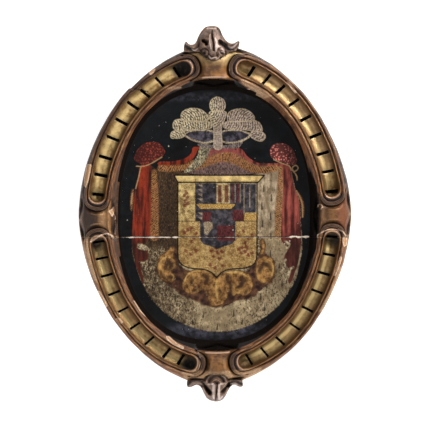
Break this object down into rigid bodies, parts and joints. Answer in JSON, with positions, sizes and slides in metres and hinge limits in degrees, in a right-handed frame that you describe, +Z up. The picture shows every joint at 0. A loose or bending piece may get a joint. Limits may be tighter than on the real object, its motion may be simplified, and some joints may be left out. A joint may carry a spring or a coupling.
{
  "type": "carved coat of arms",
  "caption": "Oval carved and painted wooden armorial panel with a fluted gilt frame and leaf ornaments, made to hang flat on a wall.",
  "frame": {"origin": "middle of the flat back of the oval, where it lies against the wall", "axes": "+Z up along the oval's long axis, +Y into the wall, so the carved front faces -Y, +X to the right seen from the front"},
  "size_m": [0.5238, 0.074, 0.719],
  "materials": {
    "gilded_painted_wood": "carved wood with gesso, toned silver-gilt channels, brown-glazed mouldings and an oil-painted dark ground, rubbed and chipped",
    "worn_gilded_painted_wood": "the same finish, more rubbed and chipped to bare gesso and wood along its outer edge"
  },
  "bodies": {
    "root": {"upper_board": "gilded_painted_wood", "lower_board": "worn_gilded_painted_wood"}
  },
  "joints": []
}
